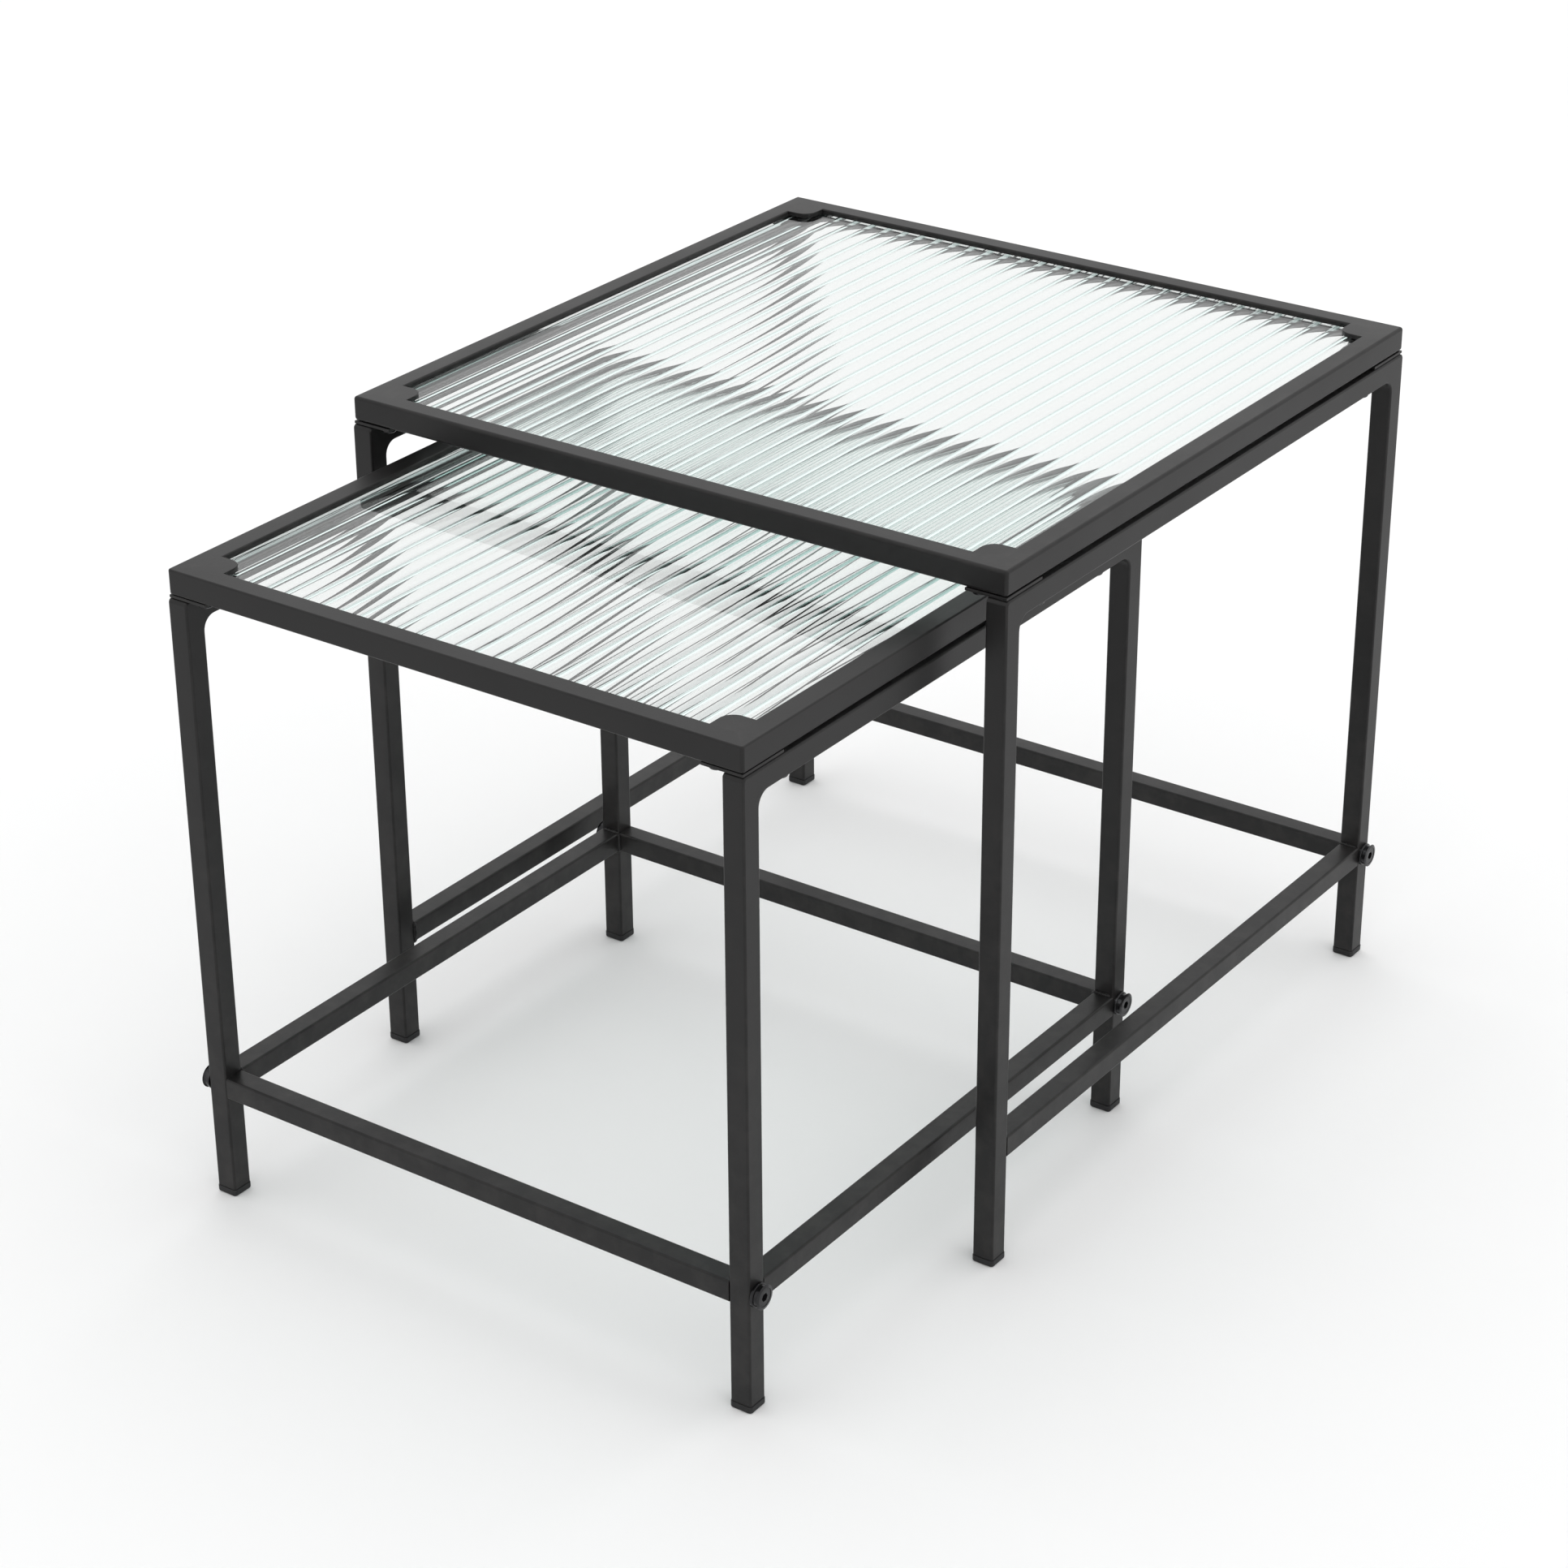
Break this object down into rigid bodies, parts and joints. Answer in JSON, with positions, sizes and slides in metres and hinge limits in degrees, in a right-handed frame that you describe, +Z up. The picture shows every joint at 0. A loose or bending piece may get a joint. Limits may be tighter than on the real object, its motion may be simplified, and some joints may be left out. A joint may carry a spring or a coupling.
{
  "type": "nesting tables",
  "caption": "Pair of square side tables in square steel tube with reeded glass tops; the smaller table slides under the larger one.",
  "frame": {"origin": "on the floor under the middle of the pair at rest, with the small table pulled out", "axes": "+X to the right along the front edge, +Y to the back, the way the small table slides in, +Z up"},
  "size_m": [0.5114, 0.714, 0.48],
  "materials": {
    "powder_coat": "satin",
    "reeded_glass": "clear",
    "black_plastic": "matte",
    "black_oxide": "gloss"
  },
  "bodies": {
    "large_table": {"large_bolt_rear_left": "black_oxide", "large_bolt_rear_right": "black_oxide", "large_foot_front_left": "black_plastic", "large_foot_front_right": "black_plastic", "large_foot_rear_left": "black_plastic", "large_foot_rear_right": "black_plastic", "large_glass": "reeded_glass", "large_leg_front_left": "powder_coat", "large_leg_front_right": "powder_coat", "large_leg_rear_left": "powder_coat", "large_leg_rear_right": "powder_coat", "large_plate_front_left": "powder_coat", "large_plate_front_right": "powder_coat", "large_plate_rear_left": "powder_coat", "large_plate_rear_right": "powder_coat", "large_rail_left": "powder_coat", "large_rail_right": "powder_coat", "large_rim_front": "powder_coat", "large_rim_left": "powder_coat", "large_rim_rear": "powder_coat", "large_rim_right": "powder_coat", "large_screw_front_left": "black_oxide", "large_screw_front_right": "black_oxide", "large_screw_rear_left": "black_oxide", "large_screw_rear_right": "black_oxide", "large_stretcher_left": "powder_coat", "large_stretcher_rear": "powder_coat", "large_stretcher_right": "powder_coat"},
    "small_table": {"small_bolt_front_left": "black_oxide", "small_bolt_front_right": "black_oxide", "small_bolt_rear_left": "black_oxide", "small_bolt_rear_right": "black_oxide", "small_foot_front_left": "black_plastic", "small_foot_front_right": "black_plastic", "small_foot_rear_left": "black_plastic", "small_foot_rear_right": "black_plastic", "small_glass": "reeded_glass", "small_leg_front_left": "powder_coat", "small_leg_front_right": "powder_coat", "small_leg_rear_left": "powder_coat", "small_leg_rear_right": "powder_coat", "small_plate_front_left": "powder_coat", "small_plate_front_right": "powder_coat", "small_plate_rear_left": "powder_coat", "small_plate_rear_right": "powder_coat", "small_rail_left": "powder_coat", "small_rail_right": "powder_coat", "small_rim_front": "powder_coat", "small_rim_left": "powder_coat", "small_rim_rear": "powder_coat", "small_rim_right": "powder_coat", "small_screw_front_left": "black_oxide", "small_screw_front_right": "black_oxide", "small_screw_rear_left": "black_oxide", "small_screw_rear_right": "black_oxide", "small_stretcher_front": "powder_coat", "small_stretcher_left": "powder_coat", "small_stretcher_rear": "powder_coat", "small_stretcher_right": "powder_coat"}
  },
  "joints": [
    {"name": "small_table_slide", "type": "slide", "parent": "large_table", "child": "small_table", "axis": [0, 1, 0], "range_m": [-0.24, 0.265]}
  ]
}
